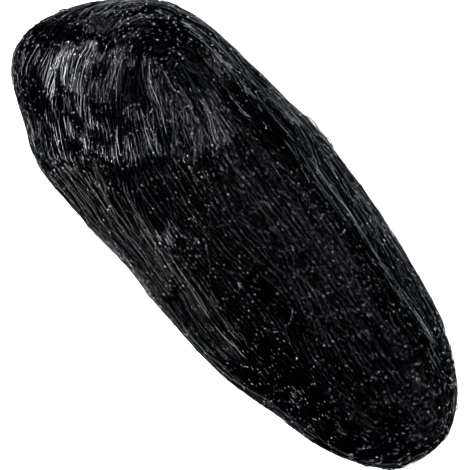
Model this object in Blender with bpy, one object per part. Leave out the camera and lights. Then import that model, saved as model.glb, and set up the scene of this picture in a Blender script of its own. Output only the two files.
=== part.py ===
"""Bird netting, gathered into a loose rope and wound round and round into one long hank.

The hank lies on its flattened underside. Its turns are nested level loops round a short
crest line on top, so the solid is built the same way: loops run from the crest line, over
the top, round the widest line and under to the flat spot. Lengths are in metres, +Z is up,
+X runs along the hank from its blunt end to its narrow end, and the origin is at the
centre of the flat spot's plane under the middle of the hank's box.
"""

import bpy
import numpy as np

MM = 0.001

# Driving dimensions
HANK_LENGTH = 0.441
HANK_WIDTH = 0.1785
HANK_HEIGHT = 0.115

# How finely the solid is faceted
STEPS_AROUND = 76
STEPS_OVER_TOP = 34
STEPS_UNDER = 22

# Widest line of the hank seen from above, from the tip of the blunt end round the +Y side
# to the narrow end and back. x and y are shares of half the length and half the width,
# and belly is the height of the widest line there as a share of the hank's height.
OUTLINE_COLUMNS = ("x", "y", "belly")
OUTLINE = [
    (-0.999, -0.283, 0.43),
    (-0.930, 0.279, 0.42),
    (-0.847, 0.545, 0.42),
    (-0.740, 0.786, 0.43),
    (-0.592, 0.910, 0.44),
    (-0.389, 0.937, 0.44),
    (-0.208, 0.968, 0.43),
    (-0.053, 0.995, 0.42),
    (0.072, 0.975, 0.42),
    (0.215, 0.936, 0.43),
    (0.362, 0.884, 0.44),
    (0.520, 0.811, 0.44),
    (0.700, 0.705, 0.43),
    (0.859, 0.497, 0.41),
    (0.981, 0.179, 0.39),
    (0.995, -0.204, 0.38),
    (0.933, -0.522, 0.39),
    (0.765, -0.759, 0.41),
    (0.539, -0.873, 0.43),
    (0.345, -0.972, 0.44),
    (0.160, -0.991, 0.43),
    (-0.016, -0.984, 0.42),
    (-0.171, -0.964, 0.42),
    (-0.367, -0.978, 0.43),
    (-0.583, -0.960, 0.45),
    (-0.779, -0.818, 0.45),
    (-0.940, -0.591, 0.44),
]

# Crest line that the turns close on: its two ends as shares of half the length and width,
# and the height of the top along it as a share of the hank's height.
CREST_BLUNT_END = (-0.537, 0.543)
CREST_NARROW_END = (0.754, 0.145)
CREST_COLUMNS = ("along", "height")
CREST = [
    (0.00, 0.93),
    (0.20, 0.98),
    (0.45, 1.00),
    (0.70, 0.97),
    (0.88, 0.90),
    (1.00, 0.84),
]

# Roundness of the section over the top, and the first loop's share of the way out
TOP_SQUARENESS = 0.92
FIRST_LOOP_SHARE = 0.035

# Keel line that the underside closes on, as shares of half the length and width, and how far
# out from it the flat spot reaches as a share of the way to the widest line
KEEL_BLUNT_END = (-0.50, 0.06)
KEEL_NARROW_END = (0.52, -0.04)
FLAT_SPOT_SHARE = 0.30

# Folds that show from a step away. reach is how far a fold lies from the crest line towards
# the widest line, 0 to 1 over the top and 1 to 2 down the side to the flat spot. around is
# the share of the way round the outline. A positive rise is a rope, a negative one a groove.
FOLD_COLUMNS = ("around", "around_end", "reach", "reach_end", "width_mm", "rise_mm")
FOLDS = [
    (0.115, 0.345, 0.46, 0.17, 9.0, -4.6),
    (0.080, 0.400, 0.62, 0.42, 15.0, 2.6),
    (0.275, 0.440, 0.74, 0.62, 8.0, -3.4),
    (0.130, 0.300, 0.80, 0.74, 7.0, -2.6),
    (0.190, 0.420, 0.96, 0.90, 13.0, 2.4),
    (0.660, 0.930, 0.93, 0.74, 8.0, -2.8),
    (0.640, 0.900, 1.06, 0.94, 15.0, 2.2),
    (0.560, 0.700, 0.70, 0.55, 12.0, 1.6),
    (0.735, 0.930, 0.30, 0.42, 16.0, 2.2),
    (0.760, 0.900, 0.52, 0.58, 9.0, -1.8),
    (0.435, 0.560, 0.55, 0.60, 9.0, -2.2),
    (0.430, 0.570, 0.80, 0.84, 14.0, 2.0),
    (0.050, 0.470, 1.32, 1.24, 9.0, -2.6),
    (0.540, 0.960, 1.30, 1.38, 9.0, -2.6),
    (0.300, 0.700, 1.58, 1.50, 12.0, 2.0),
    (0.800, 1.180, 1.62, 1.52, 12.0, 2.0),
]

# Broad swells and hollows of the top, placed from above. x and y are shares of half the
# length and width, and size is the distance at which the swell has died to a third.
SWELL_COLUMNS = ("x", "y", "size_mm", "rise_mm")
SWELLS = [
    (-0.515, 0.560, 13.0, -9.0),
    (-0.680, 0.330, 26.0, 2.0),
    (-0.830, 0.080, 24.0, 3.0),
    (-0.720, -0.330, 17.0, -3.6),
    (-0.560, -0.620, 22.0, 2.6),
    (-0.330, 0.250, 22.0, 2.4),
    (-0.200, 0.050, 16.0, -2.2),
    (0.100, -0.150, 26.0, 2.2),
    (0.330, 0.200, 20.0, -1.8),
    (0.560, -0.250, 26.0, 2.4),
    (0.800, 0.160, 12.0, -4.5),
    (0.900, -0.120, 16.0, 1.8),
]

# The rope's own turns, laid side by side. Each set of turns climbs or falls by whole turns
# on its way round, so that the ropes of two sets cross at a small angle.
TURN_COLUMNS = ("pitch_mm", "climb_turns", "rise_mm", "wander_mm", "weave")
TURNS = [
    (17.0, 0, 1.10, 5.0, 2),
    (12.5, 2, 0.75, 3.5, 3),
    (9.5, -3, 0.45, 3.0, 5),
]

NETTING_BLACK = (0.012, 0.012, 0.014, 1.0)
NETTING_ROUGHNESS = 0.34


def clear_scene():
    for obj in list(bpy.data.objects):
        bpy.data.objects.remove(obj)


def closed_curve(points, samples):
    """A centripetal curve through a closed ring of points, read at even steps of its length."""
    fine = 60
    pieces = []
    count = len(points)
    for i in range(count):
        before, start, end, after = (points[(i + k) % count] for k in (-1, 0, 1, 2))
        knots = [0.0]
        for a, b in ((before, start), (start, end), (end, after)):
            knots.append(knots[-1] + np.linalg.norm((b - a)[:2]) ** 0.5)
        t0, t1, t2, t3 = knots
        t = np.linspace(t1, t2, fine, endpoint=False)[:, None]
        a1 = (t1 - t) / (t1 - t0) * before + (t - t0) / (t1 - t0) * start
        a2 = (t2 - t) / (t2 - t1) * start + (t - t1) / (t2 - t1) * end
        a3 = (t3 - t) / (t3 - t2) * end + (t - t2) / (t3 - t2) * after
        b1 = (t2 - t) / (t2 - t0) * a1 + (t - t0) / (t2 - t0) * a2
        b2 = (t3 - t) / (t3 - t1) * a2 + (t - t1) / (t3 - t1) * a3
        pieces.append((t2 - t) / (t2 - t1) * b1 + (t - t1) / (t2 - t1) * b2)
    dense = np.vstack(pieces + [points[:1]])
    travelled = np.r_[0, np.cumsum(np.linalg.norm(np.diff(dense[:, :2], axis=0), axis=1))]
    wanted = np.asarray(samples) % 1.0 * travelled[-1]
    return np.column_stack([np.interp(wanted, travelled, column) for column in dense.T])


def smooth(t):
    """0 to 1 with no corner at either end."""
    t = np.clip(t, 0.0, 1.0)
    return t * t * (3.0 - 2.0 * t)


def to_plan(shares):
    """Plan position in metres from shares of half the length and half the width."""
    return np.asarray(shares) * np.array([HANK_LENGTH / 2, HANK_WIDTH / 2])


def nearest_on_line(plan, start, end):
    """(share along, nearest point) on a line whose ends are given as shares."""
    start, end = to_plan(start), to_plan(end)
    line = end - start
    along = np.clip((plan - start) @ line / (line @ line), 0.0, 1.0)
    return along, start + along[:, None] * line


def section(level):
    """(share of the way from crest line to outline, height share) at a level.

    Level 0 is the crest line, 1 the widest line and 2 the rim of the flat spot. Over the
    top the height share runs from 1 at the crest to 0 at the widest line, and under it
    from 0 to -1 at the floor.
    """
    over = np.clip(level, 0.0, 1.0) * np.pi / 2
    under = np.clip(level - 1.0, 0.0, 1.0) * np.pi / 2
    out = np.sin(over) ** TOP_SQUARENESS
    out = np.where(level > 1.0, FLAT_SPOT_SHARE + (1.0 - FLAT_SPOT_SHARE) * np.cos(under), out)
    up = np.where(level > 1.0, -np.sin(under), np.cos(over) ** TOP_SQUARENESS)
    return out, up


def smooth_surface(around, level):
    """Points of the hank before its folds, for arrays of around (0 to 1) and level (0 to 2)."""
    rim = closed_curve(np.array(OUTLINE), around.ravel())
    plan = to_plan(rim[:, :2])
    along, foot = nearest_on_line(plan, CREST_BLUNT_END, CREST_NARROW_END)
    _, keel_foot = nearest_on_line(plan, KEEL_BLUNT_END, KEEL_NARROW_END)
    to_keel = smooth(level.ravel() - 1.0)[:, None]
    foot = foot + (keel_foot - foot) * to_keel
    along_rows, height_rows = np.array(CREST).T
    top = np.interp(along, along_rows, height_rows) * HANK_HEIGHT
    belly = rim[:, 2] * HANK_HEIGHT
    out, up = section(level.ravel())
    xy = foot + out[:, None] * (plan - foot)
    z = np.where(up > 0, belly + (top - belly) * up, belly * (1.0 + up))
    return np.column_stack([xy, z]).reshape(*around.shape, 3)


def reach_of(level):
    """How far out a level lies: 0 at the crest line, 1 at the widest line, 2 at the flat spot."""
    out, _ = section(level)
    return np.where(level > 1.0, level, out)


def fold_rise(around, level, girth):
    """Rise of the folds and of the rope's ripple, in metres, along the surface's normal."""
    reach = reach_of(level)
    rise = np.zeros_like(level)
    for start, end, reach_start, reach_end, width, height in FOLDS:
        share = ((around - start) % 1.0) / (end - start)
        middle = reach_start + (reach_end - reach_start) * smooth(share)
        fade = smooth(share * 6.0) * smooth((1.0 - share) * 6.0) * (share < 1.0)
        off = (reach - middle) * girth / (width * MM)
        rise += height * MM * fade * np.exp(-off * off * 2.0)
    lap = 2.0 * np.pi * around
    for pitch, climb, height, wander, weave in TURNS:
        wandered = level * girth / MM + wander * np.sin(weave * lap + 3.1 * level + pitch)
        phase = 2.0 * np.pi * wandered / pitch + climb * lap
        strength = 0.6 + 0.4 * np.sin(lap * (weave + 1) + level * 5.0 + climb)
        rise += height * MM * strength * np.sin(phase)
    return rise


def swell_rise(points):
    """Broad swells and hollows of the top, in metres straight up."""
    rise = np.zeros(points.shape[:-1])
    for x, y, size, height in SWELLS:
        away = points[..., :2] - to_plan((x, y))
        rise += height * MM * np.exp(-(away**2).sum(-1) / (size * MM) ** 2)
    return rise


def hank_surface(around, level):
    """Points of the folded hank."""
    step = 1e-4
    here = smooth_surface(around, level)
    lengthwise = smooth_surface(around + step, level) - smooth_surface(around - step, level)
    down = smooth_surface(around, np.clip(level + step, 0, 2)) - smooth_surface(
        around, np.clip(level - step, 0, 2)
    )
    normal = np.cross(down, lengthwise)
    normal /= np.linalg.norm(normal, axis=-1, keepdims=True)
    normal *= np.sign((normal * (here - [0, 0, HANK_HEIGHT * 0.4])).sum(-1, keepdims=True))
    girth = HANK_WIDTH * 0.55
    near_crest = smooth(reach_of(level) / 0.12)
    near_flat = smooth((2.0 - level) / 0.22)
    folds = fold_rise(around, level, girth) * near_crest * near_flat
    points = here + normal * folds[..., None]
    over_top = smooth((1.05 - level) / 0.35)
    points[..., 2] += swell_rise(here) * over_top
    points[..., 2] = np.maximum(points[..., 2], 0.0)
    return points


def to_driving_size(points):
    """The same points scaled to the driving length, width and height, with the middle of
    the box over the origin and the flat spot at zero height."""
    low, high = points.reshape(-1, 3).min(0), points.reshape(-1, 3).max(0)
    middle = np.array([(low[0] + high[0]) / 2, (low[1] + high[1]) / 2, low[2]])
    return (points - middle) * np.array([HANK_LENGTH, HANK_WIDTH, HANK_HEIGHT]) / (high - low)


def hank_levels():
    """Levels of the loops, from the first one round the crest line to the flat spot."""
    first = np.arcsin(FIRST_LOOP_SHARE ** (1 / TOP_SQUARENESS)) / (np.pi / 2)
    top = np.linspace(first, 1.0, STEPS_OVER_TOP, endpoint=False)
    under = np.linspace(1.0, 2.0, STEPS_UNDER)
    return np.r_[top, under]


def build_hank():
    levels = hank_levels()
    turns = np.arange(STEPS_AROUND) / STEPS_AROUND
    level_grid, around_grid = np.meshgrid(levels, turns, indexing="ij")
    points = hank_surface(around_grid, level_grid)
    points[-1, :, 2] = 0.0
    points = to_driving_size(points)

    count = STEPS_AROUND
    faces = []
    for row in range(len(levels) - 1):
        for i in range(count):
            j = (i + 1) % count
            upper, lower = row * count, (row + 1) * count
            faces.append((upper + i, upper + j, lower + j, lower + i))
    faces.extend(crest_faces(points[0]))
    last = (len(levels) - 1) * count
    faces.append(tuple(last + i for i in range(count)))

    mesh = bpy.data.meshes.new("netting_hank")
    mesh.from_pydata(points.reshape(-1, 3).tolist(), [], faces)
    mesh.validate()
    mesh.shade_smooth()
    hank = bpy.data.objects.new("netting_hank", mesh)
    bpy.context.scene.collection.objects.link(hank)
    return hank


def crest_faces(first_loop):
    """Faces that close the slot along the crest line, across from one side to the other.

    The two sides of the slot are walked together from its narrow end to its blunt end,
    each step taken on the side that lags, so the strip stays even.
    """
    count = len(first_loop)
    far = int(np.argmax(first_loop[:, 0]))
    near = int(np.argmin(first_loop[:, 0]))
    left = [(far - k) % count for k in range((far - near) % count + 1)]
    right = [(far + k) % count for k in range((near - far) % count + 1)]
    faces = []
    a = b = 0
    while a < len(left) - 1 or b < len(right) - 1:
        step_left = b == len(right) - 1 or (
            a < len(left) - 1 and first_loop[left[a + 1], 0] > first_loop[right[b + 1], 0]
        )
        if step_left:
            face = (left[a], left[a + 1], right[b])
            a += 1
        else:
            face = (left[a], right[b + 1], right[b])
            b += 1
        if len(set(face)) == 3:
            faces.append(face)
    return faces


def netting_material():
    material = bpy.data.materials.new("netting")
    material.use_nodes = True
    shader = material.node_tree.nodes["Principled BSDF"]
    shader.inputs["Base Color"].default_value = NETTING_BLACK
    shader.inputs["Roughness"].default_value = NETTING_ROUGHNESS
    shader.inputs["Metallic"].default_value = 0.0
    return material


def main():
    clear_scene()
    hank = build_hank()
    hank.data.materials.append(netting_material())


main()
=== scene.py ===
import bpy
import mathutils
import numpy as np
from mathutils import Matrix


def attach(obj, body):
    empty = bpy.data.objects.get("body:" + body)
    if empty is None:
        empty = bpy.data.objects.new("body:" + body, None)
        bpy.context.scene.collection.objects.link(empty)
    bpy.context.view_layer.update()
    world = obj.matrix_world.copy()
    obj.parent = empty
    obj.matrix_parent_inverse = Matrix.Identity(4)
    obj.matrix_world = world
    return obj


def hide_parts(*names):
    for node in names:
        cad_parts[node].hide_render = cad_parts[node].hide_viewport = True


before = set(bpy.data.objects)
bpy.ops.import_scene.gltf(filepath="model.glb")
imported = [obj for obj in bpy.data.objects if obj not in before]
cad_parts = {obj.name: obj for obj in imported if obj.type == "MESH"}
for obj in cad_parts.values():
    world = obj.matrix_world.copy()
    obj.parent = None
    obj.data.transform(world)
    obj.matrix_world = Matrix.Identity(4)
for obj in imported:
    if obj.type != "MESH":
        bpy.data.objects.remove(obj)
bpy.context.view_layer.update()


# Hank core
# The gathered net that lies under the outermost turns of the hank: the same loaf of wound
# rope, a little smaller all round. Black polyethylene net, packed tight; its finish is near
# black with no gloss at all: its own black with painted shade for the deep net.

MM = 0.001
HANK_SIZE = np.array([0.441, 0.1785, 0.115])

# Widest line of the hank from above, from the blunt tip round by the +Y side: shares of half
# the length and half the width, and the height of that line as a share of the hank's height
OUTLINE_COLUMNS = ("x", "y", "belly")
OUTLINE = np.array([
    (-0.999, -0.283, 0.43), (-0.930, 0.279, 0.42), (-0.847, 0.545, 0.42),
    (-0.740, 0.786, 0.43), (-0.592, 0.910, 0.44), (-0.389, 0.937, 0.44),
    (-0.208, 0.968, 0.43), (-0.053, 0.995, 0.42), (0.072, 0.975, 0.42),
    (0.215, 0.936, 0.43), (0.362, 0.884, 0.44), (0.520, 0.811, 0.44),
    (0.700, 0.705, 0.43), (0.859, 0.497, 0.41), (0.981, 0.179, 0.39),
    (0.995, -0.204, 0.38), (0.933, -0.522, 0.39), (0.765, -0.759, 0.41),
    (0.539, -0.873, 0.43), (0.345, -0.972, 0.44), (0.160, -0.991, 0.43),
    (-0.016, -0.984, 0.42), (-0.171, -0.964, 0.42), (-0.367, -0.978, 0.43),
    (-0.583, -0.960, 0.45), (-0.779, -0.818, 0.45), (-0.940, -0.591, 0.44),
])

# Crest line that the turns close on at the top, keel line that they close on underneath
CREST_LINE = ((-0.537, 0.543), (0.754, 0.145))
KEEL_LINE = ((-0.50, 0.06), (0.52, -0.04))
CREST_COLUMNS = ("along", "height")
CREST = np.array([
    (0.00, 0.93), (0.20, 0.98), (0.45, 1.00), (0.70, 0.97), (0.88, 0.90), (1.00, 0.84),
])
TOP_SQUARENESS = 0.92
FLAT_SPOT_SHARE = 0.30
# Levels run from 0 on the crest line, over 1 on the widest line and 2 on the flat spot's
# rim, to 3 on the keel line; strands keep a little off both ends
FIRST_LEVEL, LAST_LEVEL = 0.004, 2.9
LEAST_LEVEL = 0.012
GIRTH_SHARE = 0.55
MIDDLE_HEIGHT_SHARE = 0.4

# Folds: where they start and end on the way round, how far out from the crest line
FOLD_COLUMNS = ("around", "around_end", "reach", "reach_end", "width_mm", "rise_mm")
FOLDS = [
    (0.115, 0.345, 0.46, 0.17, 9.0, -4.6), (0.080, 0.400, 0.62, 0.42, 15.0, 2.6),
    (0.275, 0.440, 0.74, 0.62, 8.0, -3.4), (0.130, 0.300, 0.80, 0.74, 7.0, -2.6),
    (0.190, 0.420, 0.96, 0.90, 13.0, 2.4), (0.660, 0.930, 0.93, 0.74, 8.0, -2.8),
    (0.640, 0.900, 1.06, 0.94, 15.0, 2.2), (0.560, 0.700, 0.70, 0.55, 12.0, 1.6),
    (0.735, 0.930, 0.30, 0.42, 16.0, 2.2), (0.760, 0.900, 0.52, 0.58, 9.0, -1.8),
    (0.435, 0.560, 0.55, 0.60, 9.0, -2.2), (0.430, 0.570, 0.80, 0.84, 14.0, 2.0),
    (0.050, 0.470, 1.32, 1.24, 9.0, -2.6), (0.540, 0.960, 1.30, 1.38, 9.0, -2.6),
    (0.300, 0.700, 1.58, 1.50, 12.0, 2.0), (0.800, 1.180, 1.62, 1.52, 12.0, 2.0),
]

# Broad swells and hollows of the top, placed from above
SWELL_COLUMNS = ("x", "y", "size_mm", "rise_mm")
SWELLS = [
    (-0.515, 0.560, 13.0, -9.0), (-0.680, 0.330, 26.0, 2.0), (-0.830, 0.080, 24.0, 3.0),
    (-0.720, -0.330, 17.0, -3.6), (-0.560, -0.620, 22.0, 2.6), (-0.330, 0.250, 22.0, 2.4),
    (-0.200, 0.050, 16.0, -2.2), (0.100, -0.150, 26.0, 2.2), (0.330, 0.200, 20.0, -1.8),
    (0.560, -0.250, 26.0, 2.4), (0.800, 0.160, 12.0, -4.5), (0.900, -0.120, 16.0, 1.8),
]

# The rope's own turns, laid side by side, each set climbing as it goes round
TURN_COLUMNS = ("pitch_mm", "climb_turns", "rise_mm", "wander_mm", "weave")
TURNS = [(17.0, 0, 1.10, 5.0, 2), (12.5, 2, 0.75, 3.5, 3), (9.5, -3, 0.45, 3.0, 5)]


def smooth(t):
    """0 to 1 with no corner at either end: 3t squared less 2t cubed."""
    t = np.clip(t, 0.0, 1.0)
    return t * t * (3.0 - 2.0 * t)


def to_plan(shares):
    """Metres in plan, from shares of half the hank's length and width."""
    return np.asarray(shares) * HANK_SIZE[:2] / 2


def closed_curve(points, samples):
    """A closed ring of points joined by a centripetal Catmull-Rom curve, read at even steps
    of its length in plan: each span is the usual pyramid of three linear blends."""
    fine = 60
    ring = [np.roll(points, -shift, axis=0)[:, None] for shift in (-1, 0, 1, 2)]
    ring[0] = np.roll(points, 1, axis=0)[:, None]
    gaps = [
        np.linalg.norm((b - a)[..., :2], axis=-1, keepdims=True) ** 0.5
        for a, b in zip(ring[:-1], ring[1:])
    ]
    knots = [np.zeros_like(gaps[0])]
    for gap in gaps:
        knots.append(knots[-1] + gap)
    t = knots[1] + gaps[1] * np.linspace(0, 1, fine, endpoint=False)[None, :, None]
    for spans in (((0, 1), (1, 2), (2, 3)), ((0, 2), (1, 3)), ((1, 2),)):
        ring = [
            ((knots[j] - t) * here + (t - knots[i]) * after) / (knots[j] - knots[i])
            for (i, j), here, after in zip(spans, ring[:-1], ring[1:])
        ]
    dense = ring[0].reshape(-1, 3)
    dense = np.vstack([dense, dense[:1]])
    gone = np.r_[0, np.cumsum(np.linalg.norm(np.diff(dense[:, :2], axis=0), axis=1))]
    wanted = np.asarray(samples) % 1.0 * gone[-1]
    return np.column_stack([np.interp(wanted, gone, column) for column in dense.T])


def nearest_on_line(plan, ends):
    """Share along a line, and the point there, nearest to each plan position."""
    start, end = to_plan(ends[0]), to_plan(ends[1])
    line = end - start
    along = np.clip((plan - start) @ line / (line @ line), 0.0, 1.0)
    return along, start + along[:, None] * line


def section(level):
    """Share of the way out and height share at a level: a quarter of a squared-off ellipse
    from the crest line (0) to the widest line (1), a quarter ellipse under it to the rim of
    the flat spot (2), then level across the flat spot to the keel line (3)."""
    over = np.clip(level, 0.0, 1.0) * np.pi / 2
    under = np.clip(level - 1.0, 0.0, 1.0) * np.pi / 2
    below = FLAT_SPOT_SHARE + (1.0 - FLAT_SPOT_SHARE) * np.cos(under)
    below = np.where(level > 2.0, FLAT_SPOT_SHARE * (3.0 - level), below)
    out = np.where(level > 1.0, below, np.sin(over) ** TOP_SQUARENESS)
    up = np.where(level > 1.0, -np.sin(under), np.cos(over) ** TOP_SQUARENESS)
    return out, up


def smooth_surface(around, level):
    """The hank before its folds: from the foot on the crest or keel line, out towards the
    outline by the section's share, at the section's height between floor, belly and top."""
    rim = closed_curve(OUTLINE, around.ravel())
    plan = to_plan(rim[:, :2])
    along, foot = nearest_on_line(plan, CREST_LINE)
    _, keel_foot = nearest_on_line(plan, KEEL_LINE)
    foot = foot + (keel_foot - foot) * smooth(level.ravel() - 1.0)[:, None]
    top = np.interp(along, CREST[:, 0], CREST[:, 1]) * HANK_SIZE[2]
    belly = rim[:, 2] * HANK_SIZE[2]
    out, up = section(level.ravel())
    xy = foot + out[:, None] * (plan - foot)
    z = np.where(up > 0, belly + (top - belly) * up, belly * (1.0 + up))
    return np.column_stack([xy, z]).reshape(*around.shape, 3)


def fold_rise(around, level):
    """Rise of folds and turns along the normal: each fold is a bell across its width, each
    set of turns a sine across the level that climbs by whole turns on its way round."""
    girth = HANK_SIZE[1] * GIRTH_SHARE
    reach = np.where(level > 1.0, level, section(level)[0])
    rise = np.zeros_like(level)
    for start, end, reach_start, reach_end, width, height in FOLDS:
        share = ((around - start) % 1.0) / (end - start)
        middle = reach_start + (reach_end - reach_start) * smooth(share)
        fade = smooth(share * 6.0) * smooth((1.0 - share) * 6.0) * (share < 1.0)
        off = (reach - middle) * girth / (width * MM)
        rise += height * MM * fade * np.exp(-off * off * 2.0)
    lap = 2.0 * np.pi * around
    for pitch, climb, height, wander, weave in TURNS:
        wandered = level * girth / MM + wander * np.sin(weave * lap + 3.1 * level + pitch)
        strength = 0.6 + 0.4 * np.sin(lap * (weave + 1) + level * 5.0 + climb)
        rise += height * MM * strength * np.sin(2.0 * np.pi * wandered / pitch + climb * lap)
    return rise * smooth(reach / 0.12) * smooth((2.0 - level) / 0.22)


def hank_surface(around, level):
    """The folded hank and its smooth normals, brought to the hank's real size."""
    step = 1e-4
    here = smooth_surface(around, level)
    lengthwise = smooth_surface(around + step, level) - smooth_surface(around - step, level)
    down = smooth_surface(around, np.clip(level + step, 0, 3)) - smooth_surface(
        around, np.clip(level - step, 0, 3)
    )
    normal = np.cross(down, lengthwise)
    normal /= np.maximum(np.linalg.norm(normal, axis=-1, keepdims=True), 1e-15)
    side = (normal * (here - [0, 0, HANK_SIZE[2] * MIDDLE_HEIGHT_SHARE])).sum(-1, keepdims=True)
    normal *= np.sign(side)
    points = here + normal * fold_rise(around, level)[..., None]
    swells = np.zeros(level.shape)
    for x, y, size, height in SWELLS:
        away = here[..., :2] - to_plan((x, y))
        swells += height * MM * np.exp(-(away**2).sum(-1) / (size * MM) ** 2)
    points[..., 2] += swells * smooth((1.05 - level) / 0.35)
    points[..., 2] = np.maximum(points[..., 2], 0.0)
    return points, normal


# Small ridges and hollows across the strands, where the net was pushed up or pressed in:
# shares of half the length and width, half lengths either way, and the long way's direction
DENT_COLUMNS = ("x", "y", "long_mm", "short_mm", "long_way_deg", "rise_mm")
DENTS = [
    (-0.444, -0.448, 34.0, 10.0, 63.0, 3.2), (-0.730, -0.347, 13.0, 11.0, 47.0, 3.2),
    (-0.608, -0.852, 13.0, 11.0, 71.0, 3.2), (-0.240, 0.359, 34.0, 10.0, 80.0, 2.2),
    (-0.118, 0.863, 13.0, 11.0, 89.0, 2.4), (-0.363, -0.347, 34.0, 10.0, 67.0, 2.8),
    (-0.771, -0.045, 20.0, 9.0, 30.0, -1.1), (-0.689, -0.852, 13.0, 11.0, 65.0, 2.0),
    (-0.200, 0.258, 34.0, 10.0, 81.0, 2.2), (-0.526, -0.549, 20.0, 9.0, 70.0, 3.0),
    (0.127, -0.146, 34.0, 10.0, 85.0, 2.0), (-0.650, -0.038, 20.0, 8.5, 48.0, -0.9),
    (-0.588, -0.030, 14.0, 10.5, 48.0, -1.5), (-0.594, -0.485, 14.0, 11.0, 48.0, -1.2),
]


def dent_rise(points):
    """Rise of the small ridges and hollows in metres: stretched bells."""
    rise = np.zeros(points.shape[:-1])
    for x, y, long, short, way, height in DENTS:
        away = (points[..., :2] - to_plan((x, y))) / MM
        c, s = np.cos(np.radians(way)), np.sin(np.radians(way))
        along, across = away @ np.array([c, s]), away @ np.array([-s, c])
        rise += height * MM * np.exp(-((along / long) ** 2) - (across / short) ** 2)
    return rise * smooth((points[..., 2] - 0.045) / 0.02)


def surface_table(columns, rows):
    """The hank's surface read on an even grid of around and level, with its smooth normals
    and its two ways: how far the point moves for one whole around, and for one level."""
    level, around = np.meshgrid(
        np.linspace(FIRST_LEVEL, LAST_LEVEL, rows), np.arange(columns) / columns, indexing="ij"
    )
    points, normal = hank_surface(around, level)
    flat = points.reshape(-1, 3)
    low, high = flat.min(0), flat.max(0)
    middle = np.array([(low[0] + high[0]) / 2, (low[1] + high[1]) / 2, 0.0])
    points = (points - middle) * HANK_SIZE / (high - low)
    points = points + normal * dent_rise(points)[..., None]
    roundway = (np.roll(points, -1, 1) - np.roll(points, 1, 1)) * columns / 2
    downway = np.gradient(points, axis=0) * (rows - 1) / (LAST_LEVEL - FIRST_LEVEL)
    return {"point": points, "normal": normal, "roundway": roundway, "downway": downway}


def look_up(name, around, level):
    """Bilinear reading of the surface table, closed round the hank."""
    values = hank[name]
    rows, columns = values.shape[:2]
    column = (around % 1.0) * columns
    gone = np.clip(level, FIRST_LEVEL, LAST_LEVEL) - FIRST_LEVEL
    row = gone / (LAST_LEVEL - FIRST_LEVEL) * (rows - 1)
    left = np.floor(column).astype(int)
    upper = np.minimum(np.floor(row).astype(int), rows - 2)
    f, g = column - left, row - upper
    f, g = f[..., None], g[..., None]
    left, right = left % columns, (left + 1) % columns
    top = values[upper, left] * (1 - f) + values[upper, right] * f
    bottom = values[upper + 1, left] * (1 - f) + values[upper + 1, right] * f
    return top * (1 - g) + bottom * g


hank = surface_table(columns=900, rows=520)

CORE_DEPTH_MM = 2.6
CORE_AROUND = 220
CORE_LEVELS = 100


def strip_across(first_loop):
    """Faces that close the slot along the crest line, zipped from its narrow end to its
    blunt end, each step taken on the side that lags."""
    count = len(first_loop)
    far, near = int(np.argmax(first_loop[:, 0])), int(np.argmin(first_loop[:, 0]))
    left = [(far - k) % count for k in range((far - near) % count + 1)]
    right = [(far + k) % count for k in range((near - far) % count + 1)]
    faces = []
    a = b = 0
    while a < len(left) - 1 or b < len(right) - 1:
        step_left = b == len(right) - 1 or (
            a < len(left) - 1 and first_loop[left[a + 1], 0] > first_loop[right[b + 1], 0]
        )
        if step_left:
            face = (left[a], left[a + 1], right[b])
            a += 1
        else:
            face = (left[a], right[b + 1], right[b])
            b += 1
        if len(set(face)) == 3:
            faces.append(face)
    return faces


def core_mesh():
    """Loops of the surface, set in by the core's depth, from the crest to the flat spot."""
    levels = np.linspace(0.05, 2.0, CORE_LEVELS)
    level, around = np.meshgrid(levels, np.arange(CORE_AROUND) / CORE_AROUND, indexing="ij")
    depth = CORE_DEPTH_MM * MM
    points = look_up("point", around, level) - look_up("normal", around, level) * depth
    points[..., 2] = np.maximum(points[..., 2], 0.0004)
    reach = np.linalg.norm(look_up("downway", around, level), axis=-1)
    across = level * reach.mean(axis=1, keepdims=True) / MM
    row, i = np.meshgrid(np.arange(CORE_LEVELS - 1), np.arange(CORE_AROUND), indexing="ij")
    j = (i + 1) % CORE_AROUND
    upper, lower = row * CORE_AROUND, (row + 1) * CORE_AROUND
    faces = np.stack([upper + i, upper + j, lower + j, lower + i], axis=-1).reshape(-1, 4)
    faces = faces.tolist() + strip_across(points[0])
    last = (CORE_LEVELS - 1) * CORE_AROUND
    faces.append([last + k for k in range(CORE_AROUND)])
    mesh = bpy.data.meshes.new("hank_core")
    mesh.from_pydata(points.reshape(-1, 3).tolist(), [], faces)
    mesh.shade_smooth()
    mesh.attributes.new("across_mm", "FLOAT", "POINT")
    mesh.attributes["across_mm"].data.foreach_set("value", across.ravel().astype(np.float32))
    return mesh


def new_material(name, **values):
    """A material whose shader has these values, its node tree and its shader's inputs."""
    material = bpy.data.materials.new(name)
    material.use_nodes = True
    inputs = material.node_tree.nodes["Principled BSDF"].inputs
    for key, value in values.items():
        inputs[key.replace("_", " ")].default_value = value
    return material, material.node_tree, inputs


def add_node(tree, kind, source, into, **values):
    """A new node with these values, and a link from the source into one of its inputs."""
    node = tree.nodes.new("ShaderNode" + kind)
    for key, value in values.items():
        node.inputs[key.replace("_", " ")].default_value = value
    tree.links.new(source, node.inputs[into])
    return node


def scaled(tree, source, factor):
    """The source times a factor."""
    node = add_node(tree, "Math", source, 0)
    node.operation = "MULTIPLY"
    node.inputs[1].default_value = factor
    return node.outputs[0]


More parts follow.
